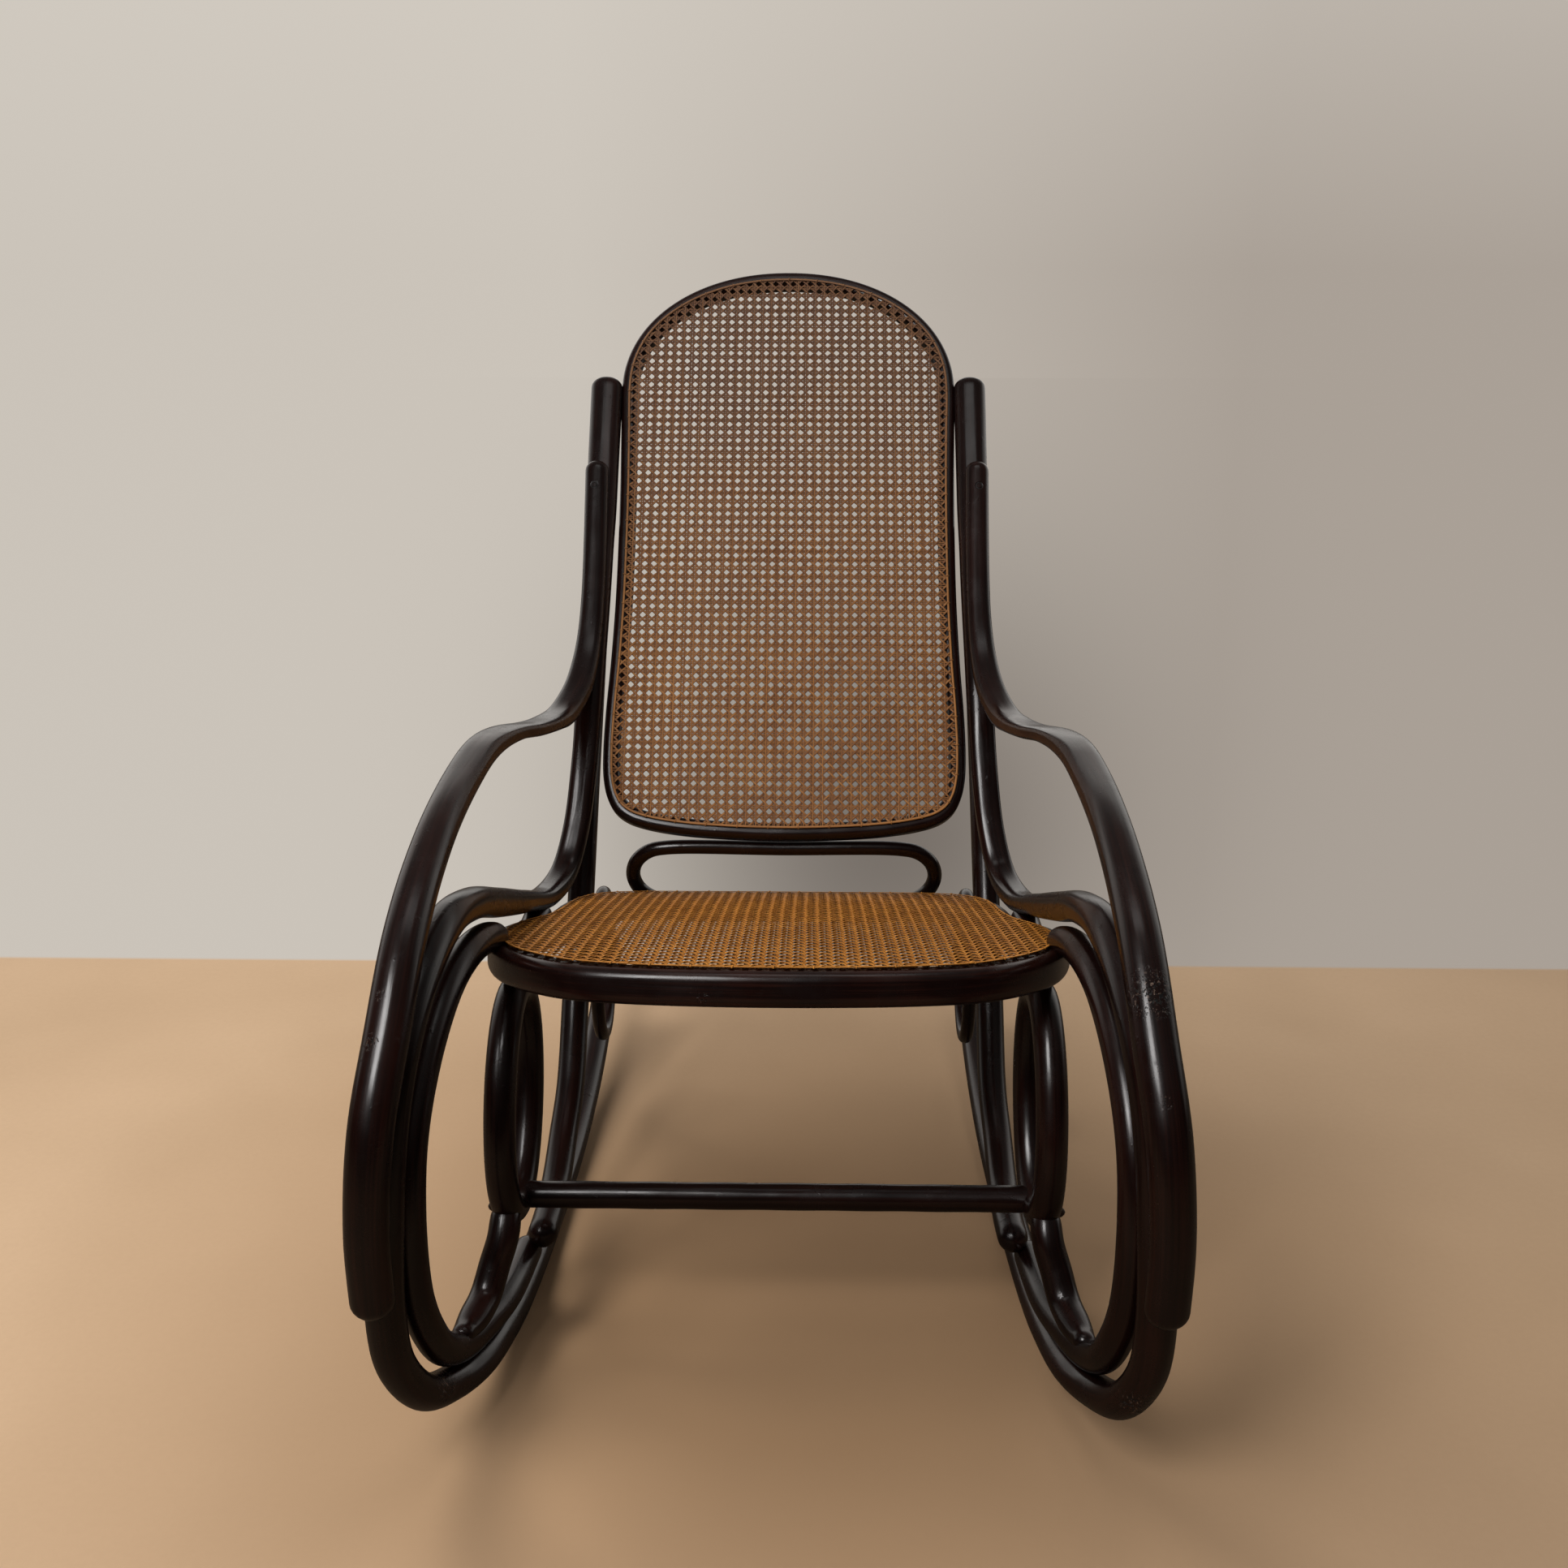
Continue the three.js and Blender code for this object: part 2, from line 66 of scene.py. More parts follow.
ARM_PATH = [
    (436, 794, 232), (412, 757, 231), (338, 645, 229.5), (297, 593, 232), (254, 562, 237),
    (221, 547, 244), (190, 541, 250), (142, 546, 257), (86, 556, 266), (30, 568, 279),
    (-36, 574, 288), (-110, 568, 293), (-226, 547, 296), (-320, 505, 299), (-388, 441, 303),
    (-430, 382, 309), (-448, 304, 314), (-451, 226, 314),
]
ARM_SECTION = [
    (0, 14, 12, 2), (0.15, 14, 13, 2.4), (0.27, 16, 12, 2.8), (0.36, 18.5, 7.8, 3.4),
    (0.42, 19.7, 7.6, 3.6), (0.52, 18, 11, 2.8), (0.62, 17.5, 15, 2.2), (0.8, 18.5, 18, 2),
    (1, 18, 16, 2),
]
INNER_PATH = [
    (-112, 404, 270), (-145, 418, 275), (-194, 426, 281), (-250, 418, 288), (-316, 382, 295),
    (-362, 333, 299), (-384, 270, 300), (-385, 198, 299), (-370, 150, 295), (-346, 113, 290),
    (-312, 90, 283), (-268, 77, 274), (-210, 67, 263), (-110, 57, 257),
]
BRACE_PATH = [
    (-322, 106, 281), (-300, 100, 279), (-262, 104, 271), (-243, 127, 264), (-232, 150, 257),
    (-212, 174, 255.5),
]
BRACE_SECTION = [(0, 10, 9, 2), (0.3, 15, 14, 2), (0.85, 15, 15, 2), (1, 13.5, 13.5, 2)]
REAR_PATH = [
    (444, 719, 231), (266, 443, 235), (205, 324, 238), (135, 219, 239), (60, 146, 237), (13, 113, 239),
    (-43, 90, 239), (-94, 82, 239), (-140, 80, 241),
]
REAR_ROD = 15.5  # radius of the rear uprights
MAIN_NOSE = 15  # length of the rounding at the top of the back uprights
RING = {"y": -157, "z": 255, "x": 254, "long": 105, "short": 56, "lean": 24, "splay": 0.06}
REAR_RING = {"y": 258, "z": 204, "x": 223, "long": 88, "short": 60, "lean": 12, "splay": 0}
LOOP_ROD = 8  # radius of the rear loops' thin rod
BOLT = {"y": -192, "z": 156, "radius": 7, "proud": 10}
STRETCHER = {"y": -174, "z": 158, "radius": 13, "reach": 250}
BLOCK = {"x": 264, "y": 45, "z": 350, "radius": 15, "tall": 50}
OVAL = {"half": 179.5, "top": (218, 372.5), "foot": (247, 293), "radius": 8.5}

SEAT_SLOPE = 0.2635  # the seat falls this much towards the back, over its depth
SEAT_HEIGHT = 374  # where y is 0
SEAT_CROWN = 8.5  # how far the cane stands proud of its ring in the middle
SEAT_RIM = {"wide": 30, "tall": 33, "round": 10}
SEAT_PLAN = [  # (y, half width) of the ring's centre line, from the front to the back
    (-252, 0), (-241, 131), (-222, 188), (-165, 244), (-100, 269), (-50, 274), (-10, 267), (30, 247),
    (75, 240), (124, 238), (170, 231), (203, 211), (218, 176), (222, 90),
]
BACK_FOOT = (201, 380)  # (y, z)
BACK_HEAD = (628, 1009)
BACK_RAIL = {"wide": 20, "deep": 24, "round": 8}
BACK_ARCH = {"half": 210, "rise": 170, "square": 2.1}
BACK_SIDE = [  # (half width, distance up the back) from the arch's spring to the foot
    (208.6, 530), (207, 460), (206.3, 380), (206.8, 300), (209.3, 225), (212.6, 165), (213.8, 115),
    (212, 80), (206.5, 57), (197, 40), (182, 28.5), (158, 20.5), (120, 14), (70, 10), (0, 8),
]
CANE = 2  # thickness of the plain sheet that the woven cane takes the place of
GAP = 0.3  # between pieces that touch


def metres(points):
    """Millimetres where the chair is built to metres in the row frame."""
    out = np.array(points, float).reshape(-1, 3)
    out[:, 1] += SHIFT
    return out * 0.001


# Mesh helpers

def new_object(name, verts, faces, material, smooth=True, attributes=None):
    """An object with its place in its mesh. attributes are {name: array}, one row a vertex."""
    mesh = bpy.data.meshes.new(name)
    verts = np.asarray(verts, np.float32)
    faces = np.asarray(faces, np.int32)
    mesh.vertices.add(len(verts))
    mesh.vertices.foreach_set("co", verts.ravel())
    corners = faces.shape[1]
    mesh.loops.add(faces.size)
    mesh.loops.foreach_set("vertex_index", faces.ravel())
    mesh.polygons.add(len(faces))
    mesh.polygons.foreach_set("loop_start", np.arange(0, faces.size, corners, dtype=np.int32))
    mesh.polygons.foreach_set("use_smooth", np.full(len(faces), smooth))
    for key, values in (attributes or {}).items():
        values = np.asarray(values, np.float32)
        if values.ndim == 2:
            mesh.attributes.new(key, "FLOAT_VECTOR", "POINT").data.foreach_set("vector", values.ravel())
        else:
            mesh.attributes.new(key, "FLOAT", "POINT").data.foreach_set("value", values)
    mesh.update(calc_edges=True)
    mesh.validate()
    mesh.materials.append(material)
    made = bpy.data.objects.new(name, mesh)
    COLLECTION.objects.link(made)
    return made


def place(piece, slot, *nodes):
    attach(piece, "root")
    if nodes:
        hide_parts(*nodes)
    return piece


def unit(v):
    return v / np.linalg.norm(v, axis=-1, keepdims=True)


def distances(points):
    """How far along the polyline each of its points is."""
    return np.concatenate([[0], np.cumsum(np.linalg.norm(np.diff(points, axis=0), axis=1))])


def sampled(points, far, at):
    """Points of a polyline at these distances from its start."""
    return np.stack([np.interp(at, far, points[:, k]) for k in range(points.shape[1])], axis=1)


def spline(points, closed=False, fine=40):
    """A centripetal Catmull-Rom curve: dense points along it, and their distances from its start."""
    p = np.asarray(points, float)
    n = len(p)
    spans = n if closed else n - 1
    out = []
    for i in range(spans):
        p1, p2 = p[i], p[(i + 1) % n]
        p0 = p[i - 1] if closed or i > 0 else 2 * p[0] - p[1]
        p3 = p[(i + 2) % n] if closed or i + 2 < n else 2 * p[-1] - p[-2]
        steps = ((p0, p1), (p1, p2), (p2, p3))
        d0, d1, d2 = (max(1e-4, np.sum((b - a) ** 2) ** 0.25) for a, b in steps)
        t1 = ((p1 - p0) / d0 - (p2 - p0) / (d0 + d1) + (p2 - p1) / d1) * d1
        t2 = ((p2 - p1) / d1 - (p3 - p1) / (d1 + d2) + (p3 - p2) / d2) * d1
        t = np.linspace(0, 1, fine, endpoint=False)[:, None]
        squared, cubed = 3 * (p2 - p1) - 2 * t1 - t2, 2 * (p1 - p2) + t1 + t2
        out.append(p1 + t1 * t + squared * t**2 + cubed * t**3)
    out = np.vstack([*out, p[:1] if closed else p[-1:]])
    return out, distances(out)


def along(curve, at):
    """Points and directions of a spline at these distances from its start."""
    points, far = curve
    before = sampled(points, far, np.clip(at - NUDGE, 0, far[-1]))
    after = sampled(points, far, np.clip(at + NUDGE, 0, far[-1]))
    return sampled(points, far, at), unit(after - before)


def tube_faces(rings, sides, closed):
    """Quads between rings of vertices, and on an open tube two caps drawn as strips of quads."""
    i = np.arange(rings if closed else rings - 1)[:, None]
    j = np.arange(sides)[None, :]
    a, b = i * sides, ((i + 1) % rings) * sides
    k = (j + 1) % sides
    quads = np.stack([a + j, a + k, b + k, b + j], axis=-1).reshape(-1, 4)
    if closed:
        return quads
    ends = []
    for first, flip in ((0, True), ((rings - 1) * sides, False)):
        for q in range(sides // 2 - 1):
            quad = [first + q, first + q + 1, first + sides - q - 2, first + sides - q - 1]
            ends.append(quad[::-1] if flip else quad)
    return np.vstack([quads, ends])


def section_at(table, share):
    """Half width, half thickness and squareness at each share, eased between the entries."""
    table = np.asarray(table, float)
    k = np.clip(np.searchsorted(table[:, 0], share, side="left"), 1, len(table) - 1)
    low, high = table[k - 1], table[k]
    t = np.clip((share - low[:, 0]) / (high[:, 0] - low[:, 0]), 0, 1)
    t = (t * t * (3 - 2 * t))[:, None]
    return low[:, 1:] * (1 - t) + high[:, 1:] * t


def grain_of(run, a, b, start):
    """Coordinates for the grain: along the wood, and across it twice, in metres."""
    return np.stack([run * 0.001 + start, a * 0.001, b * 0.001], axis=-1).reshape(-1, 3)


SIDES = 36  # points round a rod
STEP = 4.0  # distance between the rings of vertices of a rod
NUDGE = 1.5  # a curve's direction is taken over this distance on each side
AROUND = (np.arange(SIDES) + 0.5) / SIDES * 2 * math.pi
starts = {"n": 0.0}


def next_start():
    """Every piece has its own stretch of the grain, this far from the last one's."""
    starts["n"] += 3.7
    return starts["n"]


def rod(path, table, nose=None):
    """A bent rod with rounded ends: its vertices in millimetres, its faces and its grain."""
    curve = spline([(x, y, z) for y, z, x in path])
    length = curve[1][-1]
    nose, tail = nose or table[0][2], table[-1][2]
    parts = 1 - np.cos(np.linspace(0.12, math.pi / 2, 8))
    middle = np.linspace(nose, length - tail, max(8, int((length - nose - tail) / STEP)))
    at = np.concatenate([nose * parts[:-1], middle, length - tail * parts[-2::-1]])
    part = np.concatenate([parts[:-1], np.ones(len(middle)), parts[-2::-1]])
    spot, way = along(curve, at)
    u = unit(np.array([1.0, 0, 0]) - way * way[:, :1])
    v = np.cross(way, u)
    shape = section_at(table, at / length)
    narrow = np.sqrt(np.clip(1 - (1 - part) ** 2, 0, 1))
    c, s = np.cos(AROUND)[None, :], np.sin(AROUND)[None, :]
    square = shape[:, 2:3]
    grow = (np.abs(c) ** square + np.abs(s) ** square) ** (-1 / square)
    a = shape[:, :1] * c * grow * narrow[:, None]
    b = shape[:, 1:2] * s * grow * narrow[:, None]
    verts = spot[:, None, :] + u[:, None, :] * a[..., None] + v[:, None, :] * b[..., None]
    run = np.broadcast_to(at[:, None], a.shape)
    return verts.reshape(-1, 3), tube_faces(len(at), SIDES, False), grain_of(run, a, b, next_start())


def round_section(radius):
    return np.stack([radius * np.cos(AROUND), radius * np.sin(AROUND)], axis=1)


def rail_section(wide, tall, corner):
    """A rounded rectangle."""
    points = []
    for su, sv, first in ((1, 1, 0), (-1, 1, 90), (-1, -1, 180), (1, -1, 270)):
        for step in range(0, 91, 10):
            angle = math.radians(first + step)
            u = su * (wide / 2 - corner) + corner * math.cos(angle)
            v = sv * (tall / 2 - corner) + corner * math.sin(angle)
            points.append((u, v))
    return np.array(points)


def loop(curve, section, facing):
    """A closed loop of rail whose v axis keeps one direction."""
    length = curve[1][-1]
    at = np.linspace(0, length, int(length / STEP), endpoint=False)
    points, far = curve
    points = np.vstack([points[:-1], points, points[1:]])
    far = np.concatenate([far[:-1] - length, far, far[1:] + length])
    spot = sampled(points, far, at)
    way = unit(sampled(points, far, at + NUDGE) - sampled(points, far, at - NUDGE))
    facing = np.asarray(facing, float)
    u = unit(np.cross(facing, way))
    a = np.broadcast_to(section[:, 0], (len(at), len(section)))
    b = np.broadcast_to(section[:, 1], (len(at), len(section)))
    verts = spot[:, None, :] + u[:, None, :] * a[..., None] + facing * b[..., None]
    run = np.broadcast_to(np.abs(at - length / 2)[:, None], a.shape)
    faces = tube_faces(len(at), len(section), True)
    return verts.reshape(-1, 3), faces, grain_of(run, a, b, next_start())


def lathe(profile, sides=40):
    """A turned solid about x from (x, radius) pairs, closed by its first and last small rings."""
    angle = np.arange(sides) / sides * 2 * math.pi
    x = np.array([p[0] for p in profile], float)[:, None]
    r = np.array([p[1] for p in profile], float)[:, None]
    y, z = r * np.cos(angle), r * np.sin(angle)
    verts = np.stack([np.broadcast_to(x, y.shape), y, z], axis=-1).reshape(-1, 3)
    grain = grain_of(np.broadcast_to(x, y.shape), y, z, next_start())
    return verts, tube_faces(len(profile), sides, False), grain


def ring_curve(y, z, x, long, short, lean, splay):
    tilt = math.radians(lean)
    points = []
    for i in range(24):
        angle = i / 24 * 2 * math.pi
        up, back = long * math.cos(angle), short * math.sin(angle)
        points.append((
            x - back * splay,
            y + up * math.sin(tilt) + back * math.cos(tilt),
            z + up * math.cos(tilt) - back * math.sin(tilt),
        ))
    return spline(points, closed=True)


def evenly(points, step):
    """A closed outline resampled at an even step."""
    if np.linalg.norm(points[0] - points[-1]) > 1e-6:
        points = np.vstack([points, points[:1]])
    far = distances(points)
    keep = np.concatenate([[True], np.diff(far) > 1e-9])
    at = np.linspace(0, far[-1], int(far[-1] / step), endpoint=False)
    return sampled(points[keep], far[keep], at)


def offset(points, inset):
    """A closed outline moved towards its inside."""
    way = unit(np.roll(points, -1, axis=0) - np.roll(points, 1, axis=0))
    inward = np.stack([way[:, 1], -way[:, 0]], axis=1)
    area = np.sum(points[:, 0] * np.roll(points[:, 1], -1) - np.roll(points[:, 0], -1) * points[:, 1])
    return points + inward * inset * (1 if area < 0 else -1)


# Node helpers

class Nodes:
    """A material's node tree, with short calls to add to it."""

    def __init__(self, name):
        self.material = bpy.data.materials.new(name)
        self.material.use_nodes = True
        self.tree = self.material.node_tree
        self.shader = self.tree.nodes["Principled BSDF"]
        self.output = self.tree.nodes["Material Output"]

    def add(self, kind, inputs=None, **settings):
        node = self.tree.nodes.new(kind)
        for key, value in settings.items():
            setattr(node, key, value)
        for key, value in (inputs or {}).items():
            if isinstance(value, bpy.types.NodeSocket):
                self.tree.links.new(value, node.inputs[key])
            else:
                node.inputs[key].default_value = value
        return node

    def attribute(self, name, output="Vector"):
        return self.add("ShaderNodeAttribute", attribute_name=name).outputs[output]

    def place(self):
        return self.add("ShaderNodeTexCoord").outputs["Object"]

    def scaled(self, vector, x, y, z):
        return self.add("ShaderNodeMapping", {"Vector": vector, "Scale": (x, y, z)}).outputs[0]

    def noise(self, vector, scale, detail=3.0, rough=0.55, distort=0.0):
        inputs = {"Vector": vector, "Scale": scale, "Detail": detail, "Roughness": rough}
        return self.add("ShaderNodeTexNoise", inputs | {"Distortion": distort}).outputs["Fac"]

    def math(self, operation, a, b=0.0, clamp=False):
        return self.add("ShaderNodeMath", {0: a, 1: b}, operation=operation, use_clamp=clamp).outputs[0]

    def ranged(self, value, low, high, to_low=0.0, to_high=1.0):
        inputs = {"Value": value, "From Min": low, "From Max": high}
        return self.add("ShaderNodeMapRange", inputs | {"To Min": to_low, "To Max": to_high}).outputs[0]

    def mix(self, share, a, b):
        node = self.tree.nodes.new("ShaderNodeMix")
        node.data_type = "RGBA"
        for index, value in ((0, share), (6, a), (7, b)):
            if isinstance(value, bpy.types.NodeSocket):
                self.tree.links.new(value, node.inputs[index])
            else:
                node.inputs[index].default_value = (*value, 1) if isinstance(value, tuple) else value
        return node.outputs[2]

    def bump(self, height, distance, strength=1.0, under=None):
        inputs = {"Height": height, "Distance": distance, "Strength": strength}
        if under is not None:
            inputs["Normal"] = under
        return self.add("ShaderNodeBump", inputs).outputs[0]

    def near(self, centre, inside, outside):
        """1 within `inside` metres of a point of the row frame, falling to 0 at `outside`."""
        away = self.add("ShaderNodeVectorMath", {0: self.place(), 1: centre}, operation="DISTANCE")
        return self.ranged(away.outputs["Value"], inside, outside, 1.0, 0.0)

    def shine(self, **sockets):
        for key, value in sockets.items():
            socket = self.shader.inputs[key.replace("_", " ")]
            if isinstance(value, bpy.types.NodeSocket):
                self.tree.links.new(value, socket)
            else:
                socket.default_value = value
        return self.material


# Worn and pitted places (centre in the row frame, full to here, gone by here, in metres)
WORN = [
    ((0.300, -0.460, 0.480), 0.008, 0.024),
    ((0.304, -0.5145, 0.414), 0.001, 0.006),
    ((-0.311, -0.488, 0.446), 0.002, 0.008),
    ((-0.309, -0.468, 0.478), 0.001, 0.008),
    ((0.309, -0.496, 0.116), 0.004, 0.022),
    ((-0.287, -0.448, 0.094), 0.004, 0.022),
    ((-0.061, -0.349, 0.416), 0.001, 0.007),
]
# Plugged screw holes at the tops of the arm rails
PLUGS = [(-0.2325, 0.322, 0.7700), (0.2325, 0.322, 0.7700)]
RUBBED_WOOD = (0.07, 0.03, 0.016)
SCRATCHED_WOOD = (0.17, 0.12, 0.095)
PIT_BLACK = (0.0015, 0.001, 0.001)


def wood_material(name, dark, brown, share):
    """Stained bentwood under an old polish: streaks along the rod, rubbed places and small dents.

    share is how brown the lightest streaks get.
    """
    n = Nodes(name)
    grain = n.attribute("grain")
    fine = n.noise(n.scaled(grain, 6, 420, 420), 1.0, 4, 0.6)
    broad = n.noise(n.scaled(grain, 1.6, 60, 60), 1.0, 3, 0.55, 0.4)
    cloud = n.noise(n.place(), 9.0, 3, 0.6)
    streak = n.math("ADD", n.math("MULTIPLY", fine, 0.45), n.math("MULTIPLY", broad, 0.55))
    streak = n.ranged(n.math("ADD", streak, n.math("MULTIPLY", cloud, 0.35)), 0.62, 0.98)
    colour = n.mix(n.math("MULTIPLY", streak, share), dark, brown)
    speck = n.ranged(n.noise(n.place(), 260.0, 2, 0.7), 0.68, 0.76)
    rub = n.ranged(n.noise(n.place(), 22.0, 4, 0.65), 0.6, 0.72)
    worn_away = n.math("MULTIPLY", speck, rub)
    colour = n.mix(n.math("MULTIPLY", worn_away, 0.45), colour, RUBBED_WOOD)
    waves = n.noise(n.scaled(grain, 5, 55, 55), 1.0, 2, 0.5)
    lines = n.noise(n.scaled(grain, 3, 260, 260), 1.0, 3, 0.6)
    bump = n.bump(waves, 0.0016, 0.6)
    bump = n.bump(lines, 0.0003, 0.5, bump)
    dents = n.ranged(n.noise(n.place(), 75.0, 3, 0.6), 0.66, 0.8)
    bump = n.bump(dents, 0.0005, 0.5, bump)
    area = 0.0
    for centre, inside, outside in WORN:
        area = n.math("MAXIMUM", n.near(centre, inside, outside), area)
    fleck = n.ranged(n.noise(n.scaled(n.place(), 420, 420, 160), 1.0, 2, 0.6), 0.58, 0.66)
    pit = n.ranged(n.noise(n.place(), 300.0, 2, 0.6), 0.56, 0.61)
    scratched = n.math("MULTIPLY", n.math("MULTIPLY", area, fleck), 0.7)
    colour = n.mix(scratched, colour, SCRATCHED_WOOD)
    pit = n.math("MULTIPLY", area, pit)
    for centre in PLUGS:
        ring = n.math("SUBTRACT", n.near(centre, 0.0042, 0.0052), n.near(centre, 0.0026, 0.0036))
        pit = n.math("MAXIMUM", n.math("MULTIPLY", ring, 0.8), pit)
    colour = n.mix(pit, colour, PIT_BLACK)
    bump = n.bump(pit, -0.0008, 0.9, bump)
    rough = n.ranged(n.noise(n.place(), 28.0, 4, 0.6), 0.3, 0.75, 0.2, 0.32)
    dull = n.math("MULTIPLY", n.math("MAXIMUM", worn_away, pit), 0.25)
    rough = n.math("ADD", rough, dull, clamp=True)
    return n.shine(Base_Color=colour, Roughness=rough, Normal=bump)


AGED_CANE = (0.055, 0.034, 0.027)
AGED_FROM, AGED_TO = 0.68, 1.02  # heights in metres between which the cane grows darker


def cane_material(name, light, mid, dark, gloss, rim, deep, aged):
    """Split cane: glossy skin outside, a tone of its own for each strand, painted shade and dirt in the
    low places.

    rim is how dark the painted shade at the edges of a strand is, deep the height in the weave (mm)
    where the painted shade and dirt are thickest, and aged how much darker the cane is higher up.
    """
    n = Nodes(name)
    cane = n.attribute("cane")
    _, side, own = n.add("ShaderNodeSeparateXYZ", {0: cane}).outputs
    high = n.attribute("high", "Fac")
    cloud = n.math("MULTIPLY", n.noise(n.place(), 14.0, 3), 0.6)
    tone = n.math("ADD", n.math("MULTIPLY", own, 0.7), cloud)
    colour = n.mix(n.ranged(tone, 0.3, 1.0), mid, light)
    streak = n.noise(n.scaled(cane, 30, 3.5, 40), 1.0, 3, 0.6)
    colour = n.mix(n.ranged(streak, 0.45, 0.75, 0.0, 0.5), colour, dark)
    # Painted shade: each strand is darker towards its edges, as where strands lie in each other's shade
    edge = n.ranged(n.math("ABSOLUTE", side), 0.5, 0.95, 0.0, rim)
    colour = n.mix(edge, colour, tuple(0.6 * c for c in dark))
    # Painted shade and dirt: the strands lying lower in the weave are darker, darkest at the height deep
    low = n.ranged(high, deep, 0.1, 0.8, 0.0)
    colour = n.mix(low, colour, tuple(0.3 * c for c in dark))
    up = n.add("ShaderNodeSeparateXYZ", {0: n.place()}).outputs["Z"]
    blotch = n.math("MULTIPLY", n.noise(n.place(), 7.0, 3), 0.25)
    age = n.math("MULTIPLY", n.ranged(n.math("ADD", up, blotch), AGED_FROM, AGED_TO), aged)
    colour = n.mix(age, colour, AGED_CANE)
    bump = n.bump(streak, 0.0002, 0.5)
    return n.shine(Base_Color=colour, Roughness=0.45, Normal=bump, Specular_IOR_Level=gloss)


def steel_material():
    n = Nodes("old_steel")
    rust = n.ranged(n.noise(n.place(), 420.0, 4, 0.65), 0.42, 0.68)
    colour = n.mix(rust, (0.05, 0.045, 0.04), (0.07, 0.03, 0.015))
    rough = n.ranged(rust, 0, 1, 0.35, 0.7)
    return n.shine(Base_Color=colour, Metallic=0.8, Roughness=rough, Normal=n.bump(rust, 0.0002, 0.6))


DARK = wood_material("dark_bentwood", (0.0045, 0.0014, 0.0011), (0.030, 0.0075, 0.0045), 0.6)
BROWN = wood_material("brown_bentwood", (0.0060, 0.0018, 0.0014), (0.046, 0.0115, 0.0065), 0.75)
SEAT_CANE = cane_material(
    "seat_cane", (0.49, 0.200, 0.035), (0.32, 0.115, 0.018), (0.04, 0.011, 0.003), 0.1, 0.85, -0.7, 0.0
)
BACK_CANE = cane_material(
    "back_cane", (0.36, 0.155, 0.042), (0.21, 0.08, 0.023), (0.035, 0.012, 0.005), 0.25, 0.9, -1.2, 0.6
)
STEEL = steel_material()


# Side frames

def wooden(name, made, material=DARK, slot="bentwood", nodes=None):
    verts, faces, grain = made
    piece = new_object(name, metres(verts), faces, material, attributes={"grain": grain})
    return place(piece, slot, *(nodes or [name]))


def mirrored(made):
    verts, faces, grain = made
    return verts * (-1, 1, 1), faces[:, ::-1], grain + (1.3, 0, 0)


def both_sides(name, made, material=DARK):
    wooden("right_" + name + "_wood", made, material, nodes=["right_" + name])
    wooden("left_" + name + "_wood", mirrored(made), material, nodes=["left_" + name])


def worn(made):
    """Let down by the wear, and flat where it stands on the floor."""
    verts, faces, grain = made
    verts = verts - (0, 0, WEAR)
    verts[:, 2] = np.maximum(verts[:, 2], 0)
    return verts, faces, grain


def same(radius):
    return [(0, radius, radius, 2), (1, radius, radius, 2)]


SIDEWAYS = (1, 0, 0)
both_sides("main_scroll", worn(rod(MAIN_PATH, MAIN_SECTION, MAIN_NOSE)))
both_sides("arm_rail", rod(ARM_PATH, ARM_SECTION))
both_sides("inner_loop", rod(INNER_PATH, same(INNER_ROD)))
both_sides("oval_ring", loop(ring_curve(**RING), round_section(INNER_ROD), SIDEWAYS))
both_sides("lower_brace", rod(BRACE_PATH, BRACE_SECTION))
both_sides("rear_upright", rod(REAR_PATH, same(REAR_ROD)))
both_sides("rear_loop", loop(ring_curve(**REAR_RING), round_section(LOOP_ROD), SIDEWAYS))


def block():
    """A short round spacer with small rounded edges, its axis from front to back."""
    r, half = BLOCK["radius"], BLOCK["tall"] / 2
    profile = [(-half, r * 0.2), (-half, r - 2), (-half + 0.6, r - 0.6), (-half + 2, r)]
    profile += [(x, r) for x in np.linspace(-half + 3, half - 3, 10)]
    profile += [(half - 2, r), (half - 0.6, r - 0.6), (half, r - 2), (half, r * 0.2)]
    verts, faces, grain = lathe(profile)
    turned = np.stack([verts[:, 1], verts[:, 0], verts[:, 2]], axis=1)
    return turned + (BLOCK["x"], BLOCK["y"], BLOCK["z"]), faces[:, ::-1], grain


# The bolt's outline: (share of its length, share of its radius)
BOLT_OUTLINE = [(0, 1), (0.5, 1), (0.62, 0.96), (0.75, 0.84), (0.88, 0.62), (0.96, 0.36), (1, 0.06)]


def bolt_head(x, y, z, radius, length):
    verts, faces, grain = lathe([(length * far, radius * wide) for far, wide in BOLT_OUTLINE])
    return verts + (x, y, z), faces, grain


both_sides("seat_block", block())
bolt = bolt_head(RING["x"], BOLT["y"], BOLT["z"], BOLT["radius"], INNER_ROD + BOLT["proud"])
for side, made in (("right", bolt), ("left", mirrored(bolt))):
    head = new_object(side + "_bolt_head", metres(made[0]), made[1], STEEL)
    place(head, "bolt_steel", side + "_stretcher_bolt")


def stretcher(y, z, radius, reach):
    """A hand-turned dowel, its radius waving a little."""
    profile = [(-reach, 3), (-reach, radius)]
    for x in np.linspace(-reach + 1, reach - 1, 120):
        profile.append((x, radius * (1 + 0.012 * math.sin(x * 0.09))))
    profile += [(reach, radius), (reach, 3)]
    verts, faces, grain = lathe(profile)
    return verts + (0, y, z), faces, grain


wooden("front_stretcher_wood", stretcher(**STRETCHER), nodes=["front_stretcher"])


# Seat

def seat_top(y):
    return SEAT_HEIGHT - SEAT_SLOPE * y


def seat_points(drop):
    fall = drop * math.hypot(1, SEAT_SLOPE)
    half = [(x, y, seat_top(y) - fall) for y, x in SEAT_PLAN]
    return half + [(-x, y, z) for x, y, z in half[:0:-1]]


